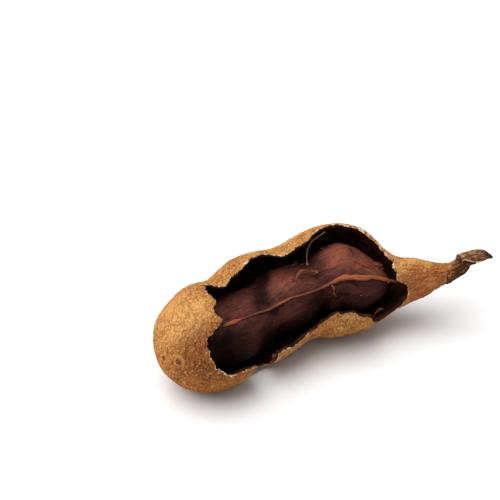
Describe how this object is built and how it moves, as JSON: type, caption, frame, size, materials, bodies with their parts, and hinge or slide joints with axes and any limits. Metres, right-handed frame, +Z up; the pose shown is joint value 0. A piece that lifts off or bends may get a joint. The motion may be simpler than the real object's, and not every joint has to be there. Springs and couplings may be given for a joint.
{
  "type": "tamarind pod",
  "caption": "Ripe tamarind pod lying on its side, its brittle shell broken open to show the dark sticky pulp, its fibre strands and a woody stalk.",
  "frame": {"origin": "centre of the bounding box's underside, on the surface that the pod lies on", "axes": "+X along the pod from its closed tip to its stalk, -Y the side that the opening faces, +Z up"},
  "size_m": [0.0878, 0.0343, 0.0259],
  "materials": {
    "shell": "matte scurfy tan rind with a net of fine brown cracks, near-black inner wall, pale crumbly broken edge",
    "pulp": "dark red-brown, finely wrinkled, slightly sticky sheen",
    "fibre": "matte orange-brown dried fibre",
    "fibre_pale": "matte pale brown dried fibre",
    "bark": "rough dark bark with grey-brown split wood at its end"
  },
  "bodies": {
    "root": {"shell": "shell", "pulp": "pulp", "fibre_main": "fibre", "fibre_torn": "fibre", "fibre_wall": "fibre_pale", "stem": "bark"}
  },
  "joints": []
}
